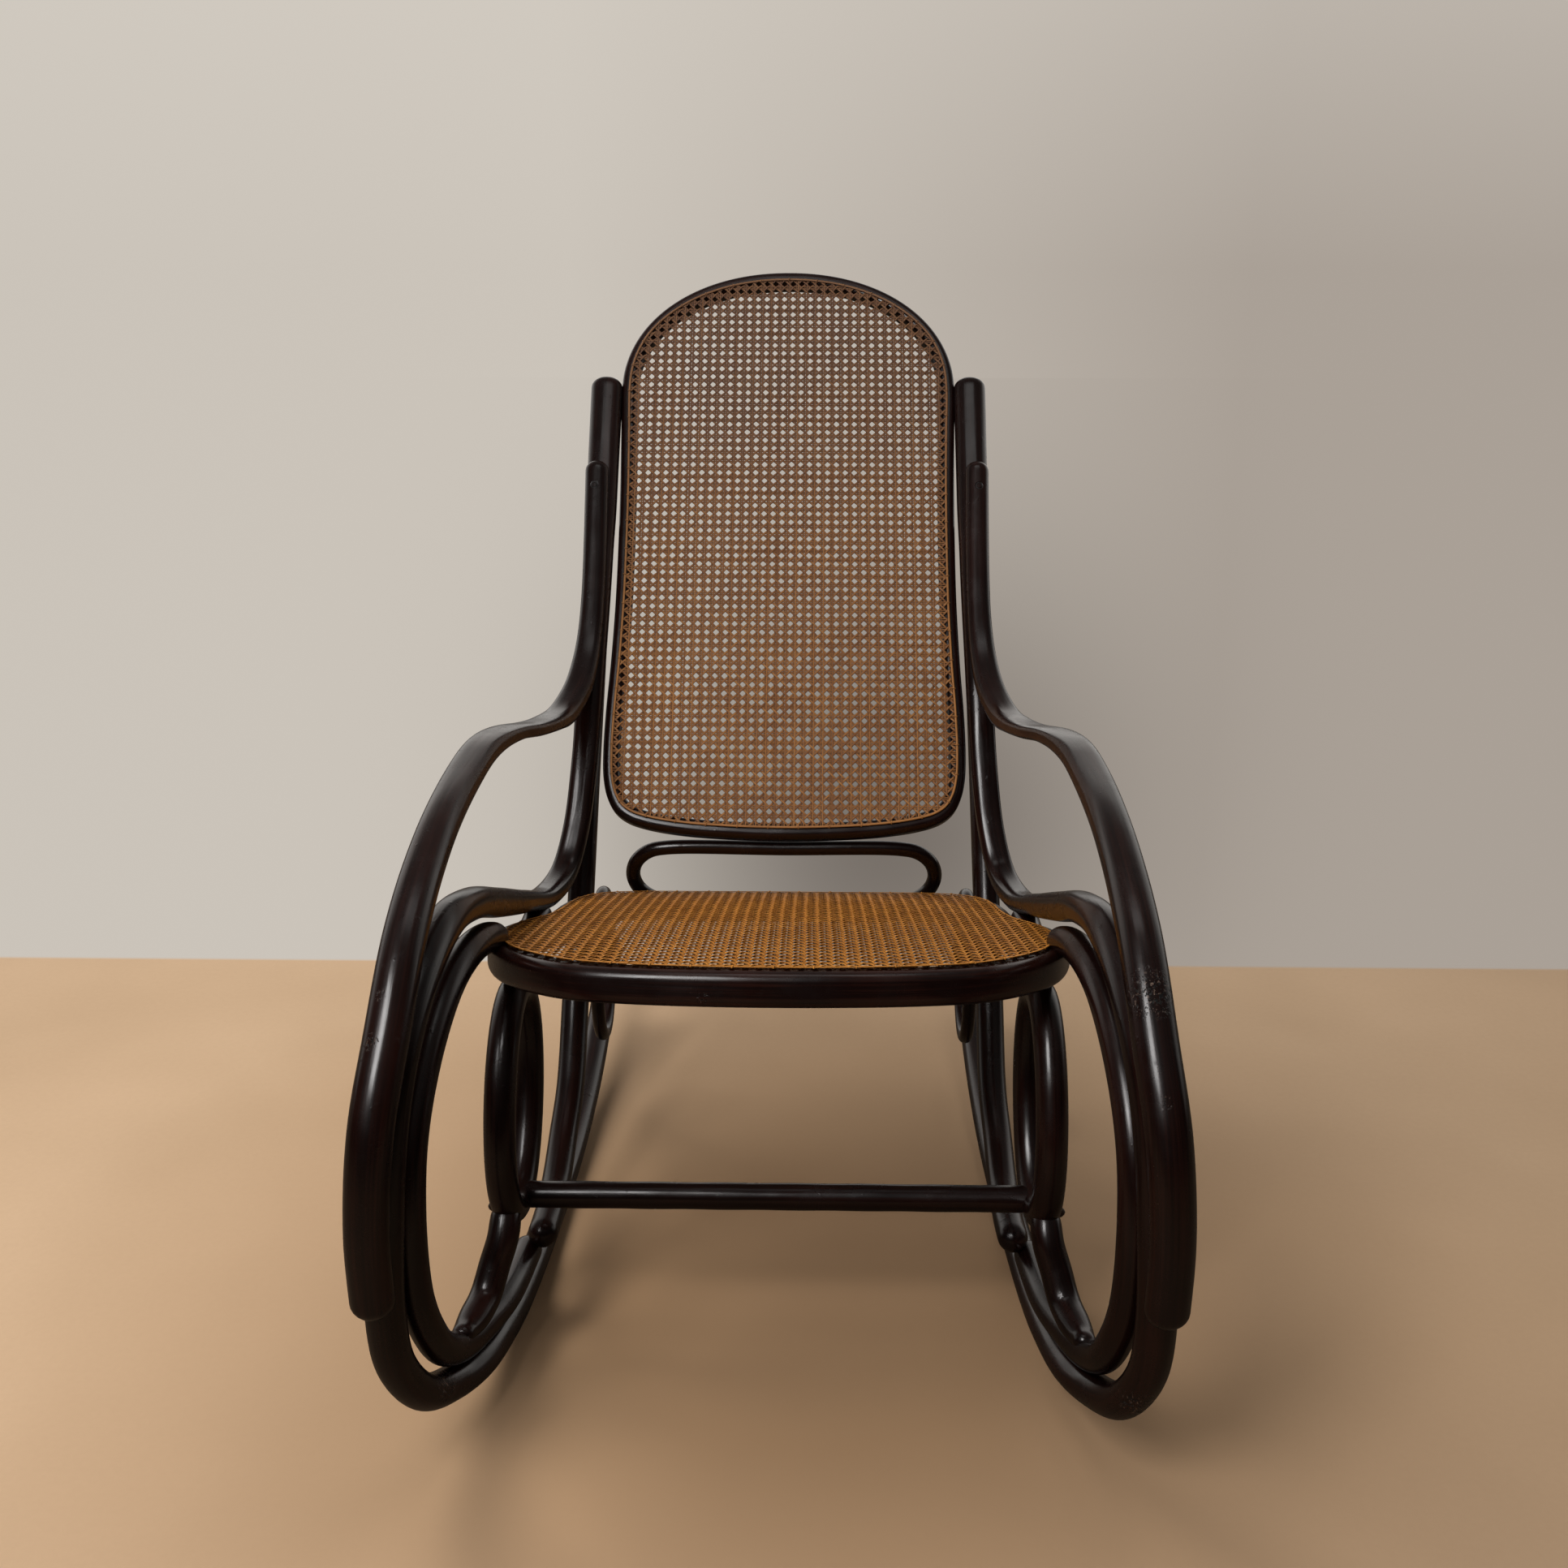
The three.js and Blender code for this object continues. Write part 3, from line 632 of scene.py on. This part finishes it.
SEAT_NORMAL = unit(np.array([0, SEAT_SLOPE, 1.0]))
SEAT_TILT = math.atan(SEAT_SLOPE)
SEAT_HALF_WIDE, SEAT_HALF_LONG, SEAT_MIDDLE = 274, 246, -15.5  # in the seat's plane
seat_drop = SEAT_RIM["tall"] / 2 + CANE + GAP
rim = rail_section(SEAT_RIM["wide"], SEAT_RIM["tall"], SEAT_RIM["round"])
seat_ring = loop(spline(seat_points(seat_drop), True), rim, SEAT_NORMAL)
wooden("seat_ring_wood", seat_ring, BROWN, nodes=["seat_ring"])


def on_seat(flat):
    """Points of the seat's plane: x, y down the slope from where the seat's height is taken, z off it."""
    x, y, z = flat.T
    c, s = math.cos(SEAT_TILT), math.sin(SEAT_TILT)
    return np.stack([x, y * c + z * s, -y * s + z * c + SEAT_HEIGHT], axis=1)


def on_crowned_seat(flat):
    """The seat's cane stands a little proud of its ring in the middle."""
    x, y = flat[:, 0], flat[:, 1]
    off_side = 1 - (x / SEAT_HALF_WIDE) ** 2
    off_ends = 1 - ((y - SEAT_MIDDLE) / SEAT_HALF_LONG) ** 2
    share = np.clip(off_side, 0, 1) * np.clip(off_ends, 0, 1)
    return on_seat(flat + np.stack([0 * x, 0 * x, SEAT_CROWN * share], axis=1))


def seat_outline(inset):
    curve = spline([(x, y / math.cos(SEAT_TILT), 0) for x, y, _ in seat_points(0)], True)
    return offset(evenly(curve[0][:, :2], 3.0), inset)


# Back

BACK_RUN = BACK_HEAD[0] - BACK_FOOT[0]
BACK_RISE = BACK_HEAD[1] - BACK_FOOT[1]
BACK_LONG = math.hypot(BACK_RUN, BACK_RISE)
BACK_LEAN = math.atan2(BACK_RUN, BACK_RISE)


def on_back(flat):
    """Points of the back's plane: x, y up from its foot, z off it towards the sitter."""
    x, y, z = flat.T
    c, s = math.cos(BACK_LEAN), math.sin(BACK_LEAN)
    return np.stack([x, y * s - z * c + BACK_FOOT[0], y * c + z * s + BACK_FOOT[1]], axis=1)


def back_points(inset):
    half, rise, square = BACK_ARCH["half"], BACK_ARCH["rise"], BACK_ARCH["square"]
    right = []
    for step in range(90, -1, -10):
        c, s = math.cos(math.radians(step)), math.sin(math.radians(step))
        right.append((half * max(c, 0) ** (2 / square), BACK_LONG - rise + rise * s ** (2 / square)))
    right += BACK_SIDE
    return offset(np.array(right + [(-x, y) for x, y in right[-2:0:-1]]), inset)


rail = rail_section(BACK_RAIL["wide"], BACK_RAIL["deep"], BACK_RAIL["round"])
curve = spline([(x, y, 0) for x, y in back_points(BACK_RAIL["wide"] / 2)], True)
verts, faces, grain = loop(curve, rail, (0, 0, 1))
wooden("back_frame_wood", (on_back(verts), faces, grain), nodes=["back_frame"])


def back_oval():
    top, foot = np.array([0, *OVAL["top"]], float), np.array([0, *OVAL["foot"]], float)
    middle, up = (top + foot) / 2, top - foot
    bend = np.linalg.norm(up) / 2
    up = unit(up)
    right = [(0, bend)]
    for step in range(0, 181, 30):
        angle = math.radians(step)
        right.append((OVAL["half"] - bend + bend * math.sin(angle), bend * math.cos(angle)))
    right.append((0, -bend))
    flat = right + [(-x, rise) for x, rise in right[-2:0:-1]]
    points = [middle + (x, 0, 0) + up * rise for x, rise in flat]
    return loop(spline(points, True), round_section(OVAL["radius"]), unit(np.cross((1.0, 0, 0), up)))


wooden("back_oval_wood", back_oval(), nodes=["back_oval"])


# Cane

def crossings(outline, start, way):
    """Where the line start + t * way enters and leaves the outline."""
    normal = np.array([-way[1], way[0]])
    side = (outline - start) @ normal
    run = (outline - start) @ way
    after, further = np.roll(side, -1), np.roll(run, -1)
    hit = (side > 0) != (after > 0)
    t = run[hit] + (further[hit] - run[hit]) * side[hit] / (side[hit] - after[hit])
    t.sort()
    return list(zip(t[::2], t[1::2]))


# A strand's section: (share of the half width, share of the thickness)
STRAND = np.array([(-1, -0.35), (-0.72, 0.28), (0, 0.5), (0.72, 0.28), (1, -0.35)])
# Sizes over the pitch
PAIR = 0.10  # half the distance between the strands of a pair
STRAND_WIDE = 0.172
SLANT_WIDE = 0.225  # width of the diagonal strands
WANDER = 0.014  # how far a strand strays from its line
# Heights in the weave over a strand's thickness
LOWEST = -0.95
UP_SWING = 0.12
ACROSS_LEVEL, ACROSS_SWING = -0.12, 0.16
SLANT_SWING = 1.25


class Weave:
    """Strands laid in a plane: vertices (x, y, height), faces, and what the material reads."""

    def __init__(self, seed):
        self.verts, self.faces, self.cane, self.high, self.count = [], [], [], [], 0
        self.chance = np.random.default_rng(seed)

    def strand(self, centre, height, width, thick, tone=None):
        way = unit(np.gradient(centre, axis=0))
        across = np.stack([-way[:, 1], way[:, 0]], axis=1)
        n, m = len(centre), len(STRAND)
        flat = centre[:, None, :] + across[:, None, :] * (STRAND[:, 0] * width / 2)[None, :, None]
        z = height[:, None] + (STRAND[:, 1] * thick)[None, :]
        self.verts.append(np.concatenate([flat, z[..., None]], axis=2).reshape(-1, 3))
        i = np.arange(n - 1)[:, None] * m + self.count
        j = np.arange(m)[None, :]
        k = (j + 1) % m
        self.faces.append(np.stack([i + k, i + j, i + m + j, i + m + k], axis=-1).reshape(-1, 4))
        far = distances(centre) * 0.001
        tone = self.chance.random() if tone is None else tone
        run = np.broadcast_to(far[:, None] + tone * 9, (n, m))
        side = np.broadcast_to(STRAND[:, 0], (n, m))
        self.cane.append(np.stack([run, side, np.full((n, m), tone)], axis=-1).reshape(-1, 3))
        self.high.append(np.broadcast_to(height[:, None], (n, m)).ravel())
        self.count += n * m

    def family(self, outline, inner, pitch, slope, lines, step, height, width, thick):
        """Parallel strands.

        slope is their direction, lines holds the signed distance of each from the middle, and
        height is a function of the points along a strand. With an inner outline, a strand ends
        there unless it runs straight on to the edge.
        """
        way = unit(np.array(slope, float))
        normal = np.array([-way[1], way[0]])
        for where in lines:
            start = normal * where
            spans = crossings(outline, start, way)
            if inner is not None:
                spans = [self.reaching(span, spans, pitch) for span in crossings(inner, start, way)]
            for t0, t1 in spans:
                if t1 - t0 < pitch * 0.5:
                    continue
                t = np.arange(math.ceil(t0 / step), math.floor(t1 / step) + 1) * step
                t = np.unique(np.concatenate([[t0], t, [t1]]))
                t = t[np.concatenate([[True], np.diff(t) > 0.4])]
                centre = start + t[:, None] * way
                aside = self.chance.normal(0, WANDER) * pitch
                swerve = WANDER * pitch * np.sin(t / pitch * 0.37 + aside * 9)
                centre = centre + normal * (aside + swerve)[:, None]
                self.strand(centre, height(centre), width, thick)

    def reaching(self, span, edges, pitch):
        """A span of the inner outline, run on to the edge at the ends that meet it squarely."""
        low, high = span
        for t0, t1 in edges:
            if t0 <= low and t1 >= high:
                low = t0 if low - t0 < 1.3 * pitch else low - 0.3 * pitch
                high = t1 if t1 - high < 1.3 * pitch else high + 0.3 * pitch
        return low, high

    def six_way(self, outline, inner, pitch, middle, thick, relief, upper):
        """Pairs up, pairs across and two diagonals, woven as on a caned chair.

        relief is how far the columns of holes stand over the columns of pairs, and upper how high
        the upper strand of the upright pairs lies, over the thickness.
        """
        outline = outline - middle
        inner = inner if inner is None else inner - middle
        reach = float(np.max(np.abs(outline))) * 1.5
        gap = PAIR * pitch
        count = int(reach / pitch) + 1
        base = np.arange(-count, count + 1) * pitch
        wave = 2 * math.pi / pitch
        straight, slanted = STRAND_WIDE * pitch, SLANT_WIDE * pitch

        def lowest(centre):
            return np.full(len(centre), LOWEST * thick)

        def higher(centre):
            return upper * thick + UP_SWING * thick * np.cos(wave * centre[:, 1])

        def across(centre, side):
            swing = np.cos(wave * centre[:, 0])
            return thick * (ACROSS_LEVEL + ACROSS_SWING * side * swing) - relief * swing

        def diagonal(centre, sign):
            return (sign * SLANT_SWING * thick - relief) * np.cos(wave * centre[:, 0])

        for lines, height in ((base + gap, lowest), (base - gap, higher)):
            self.family(outline, inner, pitch, (0, 1), lines, pitch / 2, height, straight, thick)
        for side in (-1, 1):
            lines = base + side * gap
            height = partial(across, side=side)
            self.family(outline, inner, pitch, (1, 0), lines, pitch / 6, height, straight, thick)
        lines = (np.arange(-2 * count, 2 * count + 1) + 0.5) * pitch / math.sqrt(2)
        step = pitch * math.sqrt(2) / 6
        for slope, sign in (((1, -1), 1), ((1, 1), -1)):
            height = partial(diagonal, sign=sign)
            self.family(outline, None, pitch, slope, lines, step, height, slanted, thick)

    def moved(self, middle):
        for verts in self.verts:
            verts[:, :2] += middle

    def binder(self, outline, width, thick, height):
        points = np.vstack([outline, outline[:2]])
        self.strand(points, np.full(len(points), height), width, thick, 0.9)

    def stitches(self, outline, every, width, thick, height, reach, tone=0.95):
        """Small loops over the binder, from the hole inside it to the wood."""
        outline = evenly(outline, 1.0)
        way = unit(np.roll(outline, -1, axis=0) - np.roll(outline, 1, axis=0))
        across = np.stack([-way[:, 1], way[:, 0]], axis=1)
        count = max(1, round(len(outline) / every))
        for i in range(count):
            k = int(i * len(outline) / count + self.chance.normal(0, 0.6)) % len(outline)
            t = np.linspace(-1, 1, 7)
            lean = self.chance.normal(0.15, 0.1)
            aside = across[k] * (t * reach)[:, None]
            centre = outline[k] + aside + way[k] * (t * lean * reach)[:, None]
            lift = height + thick * (1.1 - 2.2 * np.abs(t) ** 3)
            self.strand(centre, lift, width, thick, tone - 0.3 * self.chance.random())

    def piece(self, name, to_space, rise, material):
        flat = np.vstack(self.verts)
        flat[:, 2] += rise
        verts = metres(to_space(flat))
        attributes = {"cane": np.vstack(self.cane), "high": np.concatenate(self.high)}
        return new_object(name, verts, np.vstack(self.faces), material, attributes=attributes)


BACK_WEAVE = {"pitch": 11.1, "middle": np.array([0.0, 12.0]), "thick": 0.5, "relief": 0.12, "upper": 0.6}
SEAT_WEAVE = {"pitch": 12.2, "middle": np.array([0.0, 6.0]), "thick": 0.7, "relief": 0.0, "upper": -0.5}
BINDER = {"width": 3.2, "thick": 1.0, "height": 1.1}
TIES = {"every": 36.0, "width": 1.8, "thick": 0.6, "height": 1.4, "reach": 2.2}
# How high the middle of each weave lies over its plane
BACK_LIFT = BACK_RAIL["deep"] / 2 + 1.35
SEAT_LIFT = -1.1


def woven(name, node, outline, inner, to_space, rise, material, seed, weave):
    """The net of strands, and the binder with its ties as a second piece."""
    net = Weave(seed)
    net.six_way(outline, inner, **weave)
    net.moved(weave["middle"])
    place(net.piece(name, to_space, rise, material), node, node)
    edge = Weave(seed + 1)
    edge.binder(outline, **BINDER)
    edge.stitches(outline, **TIES)
    place(edge.piece(name + "_binder", to_space, rise, material), node)


def back_line(inset, foot, head):
    """The back's outline moved in, a little further at its foot and its head."""
    outline = evenly(spline([(x, y, 0) for x, y in back_points(0)], True)[0][:, :2], 3.0)
    y = outline[:, 1:]
    at_foot = np.clip(1 - y / 60, 0, 1)
    at_head = np.clip((y - BACK_LONG) / 90 + 1, 0, 1)
    return offset(outline, inset + foot * at_foot + head * at_head)


back_edge, back_inner = back_line(11, 2, 4), back_line(18.5, 0, 0)
seat_edge = seat_outline(1.5)
woven("woven_back", "back_cane", back_edge, back_inner, on_back, BACK_LIFT, BACK_CANE, 11, BACK_WEAVE)
woven("woven_seat", "seat_cane", seat_edge, None, on_crowned_seat, SEAT_LIFT, SEAT_CANE, 23, SEAT_WEAVE)


# Floor and light

FAR = 0.612  # where the floor takes the wall's tone
VIEWPOINT = (0.031, -1.559, 1.0185)  # the wall's tones are laid out as they stand from here
WALL = (0.595, 0.548, 0.488)
# Painted light on the wall: darker to the right, lighter towards the top
WALL_SHADED_RIGHT = (0.40, 0.352, 0.307)
WALL_LIT_TOP = (0.70, 0.655, 0.59)
# A painted soft shadow of the chair on the wall: its colour, how far it darkens, and where it lies
PAINTED_WALL_SHADOW = (0.035, 0.022, 0.016)
SHADOW_SHARE = 0.68
SHADOW_ACROSS = {"middle": 0.046, "spread": 0.17}  # as slopes from the viewpoint
SHADOW_DOWN = {"middle": -0.3725, "spread": 0.19}
FLOOR_LIGHT = (0.58, 0.405, 0.26)
FLOOR_DARK = (0.48, 0.33, 0.205)
FLOOR_SPECK = (0.2, 0.12, 0.07)
# A painted shadow under the chair: the floor's colour at its middle, and the point it is centred on
FLOOR_PAINTED_SHADOW = (0.35, 0.215, 0.115)
PAINTED_SHADOW_MIDDLE = (0.03, -0.22, 0.0)
FLOOR_REACH = 14.0  # from the chair to each edge of the floor


def wall_tone(n, spot):
    """The wall's colour: painted shade darker to the right, and the chair's soft shadow painted behind
    the seat.
    """
    away = n.add("ShaderNodeVectorMath", {0: spot, 1: VIEWPOINT}, operation="SUBTRACT").outputs[0]
    away = n.add("ShaderNodeSeparateXYZ", {0: away}).outputs
    across = n.math("DIVIDE", away["X"], away["Y"])
    down = n.math("DIVIDE", away["Z"], away["Y"])
    tone = n.mix(n.ranged(across, -0.15, 0.27), WALL, WALL_SHADED_RIGHT)
    squares = []
    for value, extent in ((across, SHADOW_ACROSS), (down, SHADOW_DOWN)):
        share = n.math("DIVIDE", n.math("SUBTRACT", value, extent["middle"]), extent["spread"])
        squares.append(n.math("MULTIPLY", share, share))
    shadow = n.math("EXPONENT", n.math("MULTIPLY", n.math("ADD", *squares), -1.0))
    return n.mix(n.math("MULTIPLY", shadow, SHADOW_SHARE), tone, PAINTED_WALL_SHADOW)


def backdrop():
    """A pale floor with a painted shadow under the chair. Past the back legs it takes the wall's tone,
    with the world behind it.
    """
    n = Nodes("floor")
    spot = n.place()
    cloud = n.noise(spot, 1.6, 3, 0.5)
    colour = n.mix(n.ranged(cloud, 0.3, 0.7), FLOOR_LIGHT, FLOOR_DARK)
    speck = n.ranged(n.noise(spot, 130.0, 3, 0.7), 0.35, 0.75, 0, 0.05)
    colour = n.mix(speck, colour, FLOOR_SPECK)
    # Painted shadow: the floor darkens towards the point under the chair
    painted_shadow = n.math("MULTIPLY", n.near(PAINTED_SHADOW_MIDDLE, 0.2, 0.9), 0.95)
    colour = n.mix(painted_shadow, colour, FLOOR_PAINTED_SHADOW)
    rays = n.add("ShaderNodeLightPath").outputs
    # Painted shade in reflections: the polish mirrors the floor darker than it is
    mirrored_dark = n.math("MULTIPLY", rays["Is Glossy Ray"], 0.78)
    colour = n.mix(mirrored_dark, colour, (0.0, 0.0, 0.0))
    n.shine(Base_Color=colour, Roughness=0.75, Specular_IOR_Level=0.2)
    y = n.add("ShaderNodeSeparateXYZ", {0: spot}).outputs["Y"]
    beyond = n.math("MULTIPLY", n.ranged(y, FAR - 0.004, FAR + 0.004), rays["Is Camera Ray"])
    wall = n.add("ShaderNodeEmission", {"Color": wall_tone(n, spot), "Strength": 1.0})
    mixed = n.add("ShaderNodeMixShader", {0: beyond, 1: n.shader.outputs[0], 2: wall.outputs[0]})
    n.tree.links.new(mixed.outputs[0], n.output.inputs["Surface"])
    far = FLOOR_REACH
    verts = [(-far, -far, 0), (far, -far, 0), (far, far, 0), (-far, far, 0)]
    floor = new_object("floor", verts, [(0, 1, 2, 3)], n.material, smooth=False)
    floor.location.z = -0.0002


backdrop()


# Brightness of the room's parts in the polish, and of its soft light on everything
ROOM = {"dark": 0.006, "wall": 0.95, "ceiling": 0.08, "soft": 0.22}
ROOM_TINT = (1.0, 0.96, 0.91, 1)


def room():
    """The room round the chair: a pale wall behind it, a lit ceiling and a dark end in front."""
    world = bpy.data.worlds.new("studio")
    bpy.context.scene.world = world
    world.use_nodes = True
    tree = world.node_tree
    tree.nodes.clear()

    def add(kind, *inputs, **settings):
        node = tree.nodes.new(kind)
        for key, value in settings.items():
            setattr(node, key, value)
        for socket, value in zip(node.inputs, inputs):
            if isinstance(value, bpy.types.NodeSocket):
                tree.links.new(value, socket)
            elif value is not None:
                socket.default_value = value
        return node.outputs

    def eased(*inputs):
        return add("ShaderNodeMapRange", *inputs, interpolation_type="SMOOTHSTEP")[0]

    way = add("ShaderNodeSeparateXYZ", add("ShaderNodeTexCoord")["Generated"])
    behind = eased(way["Y"], 0.0, 0.6, 0.0, ROOM["wall"])
    under = eased(way["Z"], 0.3, 0.75, 1.0, 0.06)
    wall = add("ShaderNodeMath", behind, under, operation="MULTIPLY")[0]
    above = eased(way["Z"], 0.2, 0.85, 0.0, ROOM["ceiling"])
    both = add("ShaderNodeMath", wall, above, operation="ADD")[0]
    shiny = add("ShaderNodeMath", both, ROOM["dark"], operation="ADD")[0]
    ray = add("ShaderNodeLightPath")
    level = add("ShaderNodeMix", ray["Is Diffuse Ray"], None, shiny, ROOM["soft"])[0]
    light = add("ShaderNodeBackground", ROOM_TINT, level)[0]
    # The wall seen past the floor, with painted shade to the right and painted light towards the top
    tones = (WALL, WALL_SHADED_RIGHT, WALL_LIT_TOP)
    walls = [add("ShaderNodeBackground", (*tone, 1), 1.0)[0] for tone in tones]
    rightwards = add("ShaderNodeMapRange", way["X"], -0.15, 0.26, 0.0, 1.0)[0]
    upwards = add("ShaderNodeMapRange", way["Z"], 0.0, 0.3, 0.0, 0.7)[0]
    plain = add("ShaderNodeMixShader", rightwards, walls[0], walls[1])[0]
    plain = add("ShaderNodeMixShader", upwards, plain, walls[2])[0]
    chosen = add("ShaderNodeMixShader", ray["Is Camera Ray"], light, plain)[0]
    tree.links.new(chosen, tree.nodes.new("ShaderNodeOutputWorld").inputs["Surface"])


room()


def lamp(name, at, towards, size, power, colour, mirrored_in_polish=True):
    data = bpy.data.lights.new(name, "AREA")
    data.shape = "RECTANGLE"
    data.size, data.size_y = size
    data.energy = power
    data.color = colour
    made = bpy.data.objects.new(name, data)
    made.location = at
    made.rotation_euler = (Vector(towards) - Vector(at)).to_track_quat("-Z", "Y").to_euler()
    made.visible_glossy = mirrored_in_polish
    COLLECTION.objects.link(made)


lamp("key", (-0.85, -1.7, 2.05), (-0.1, -0.3, 0.45), (0.85, 0.9), 33, (1.0, 0.98, 0.97))
lamp("sky", (0.1, 0.0, 2.9), (0.1, 0.0, 0.0), (1.7, 1.7), 15, (1.0, 0.98, 0.96), False)
lamp("window", (-1.4, 0.9, 2.3), (0, 0, 0.3), (1.2, 1.2), 40, (1.0, 0.98, 0.95), False)
lamp("overhead", (0.1, -0.3, 2.7), (0.1, -0.3, 0), (1.4, 0.5), 3, (1.0, 0.98, 0.96))

# Camera
view = bpy.data.cameras.new("photo")
view.sensor_width = 36
view.lens = 35.40
view.clip_end = 60
eye = bpy.data.objects.new("photo", view)
eye.location = (0.03105, -1.5588, 1.0185)
eye.rotation_euler = (math.radians(71.5), 0, math.radians(1.03))
COLLECTION.objects.link(eye)
bpy.context.scene.camera = eye
bpy.context.scene.view_settings.view_transform = "Standard"
